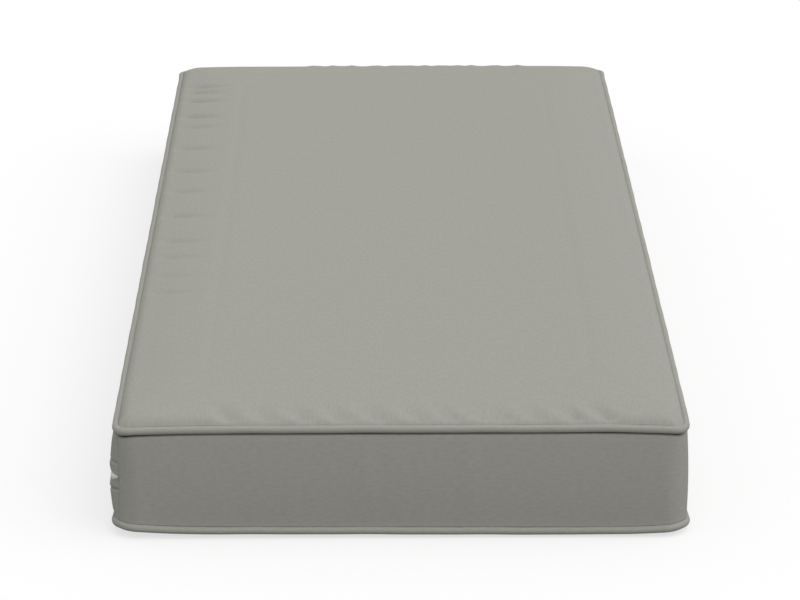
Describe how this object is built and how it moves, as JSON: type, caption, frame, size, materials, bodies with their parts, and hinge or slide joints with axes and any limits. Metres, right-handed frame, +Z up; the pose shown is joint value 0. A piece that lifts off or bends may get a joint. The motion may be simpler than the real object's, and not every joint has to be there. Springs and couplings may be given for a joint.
{
  "type": "pressure relief mattress",
  "caption": "Flat oblong mattress of zoned, cut foam in a piped woven cover that zips open along one side, to spread the weight of a person who lies in bed for long.",
  "frame": {"origin": "on the surface that the mattress rests on, under the middle of its box", "axes": "+X towards the right side, +Y along the length towards the head end, +Z up; the foot end faces -Y and the zip is in the left side, at -X"},
  "size_m": [0.8897, 1.986, 0.2017],
  "materials": {
    "cover_cloth": "coated plain weave, warm grey, matt",
    "cord_fibre": "soft filler cord, off-white",
    "zip_tape": "woven tape, white",
    "zip_coil": "moulded nylon coil, white",
    "zip_metal": "plated, satin",
    "firm_foam": "cut open-cell foam, firm, pale blue-grey",
    "soft_foam": "cut open-cell foam, soft, cream"
  },
  "bodies": {
    "mattress": {"top_panel": "cover_cloth", "base_panel": "cover_cloth", "boxing_band": "cover_cloth", "zip_placket_upper": "cover_cloth", "zip_placket_lower": "cover_cloth", "piping_sleeve_top": "cover_cloth", "piping_sleeve_base": "cover_cloth", "piping_cord_top": "cord_fibre", "piping_cord_base": "cord_fibre", "zip_tape_upper": "zip_tape", "zip_tape_lower": "zip_tape", "zip_coil_upper": "zip_coil", "zip_coil_lower": "zip_coil", "zip_stop_upper": "zip_metal", "zip_stop_lower": "zip_metal", "zip_retainer": "zip_metal", "foam_base": "firm_foam", "foam_rail_left": "firm_foam", "foam_rail_right": "firm_foam", "foam_rail_foot": "firm_foam", "foam_rail_head": "firm_foam", "foam_pad_heel": "soft_foam", "foam_pad_torso": "soft_foam", "foam_pad_head": "soft_foam"},
    "slider": {"zip_slider": "zip_metal"},
    "pull_tab": {"zip_pull": "zip_metal"}
  },
  "joints": [
    {"name": "zip_slide", "type": "slide", "parent": "mattress", "child": "slider", "axis": [0, 1, 0], "range_m": [0, 1.8424], "deforming": ["zip_coil_upper", "zip_coil_lower"]},
    {"name": "pull_swing", "type": "hinge", "parent": "slider", "child": "pull_tab", "pos_m": [-0.44359, -0.9212, 0.0925], "axis": [0, 0, 1], "range_deg": [0, 180]}
  ]
}
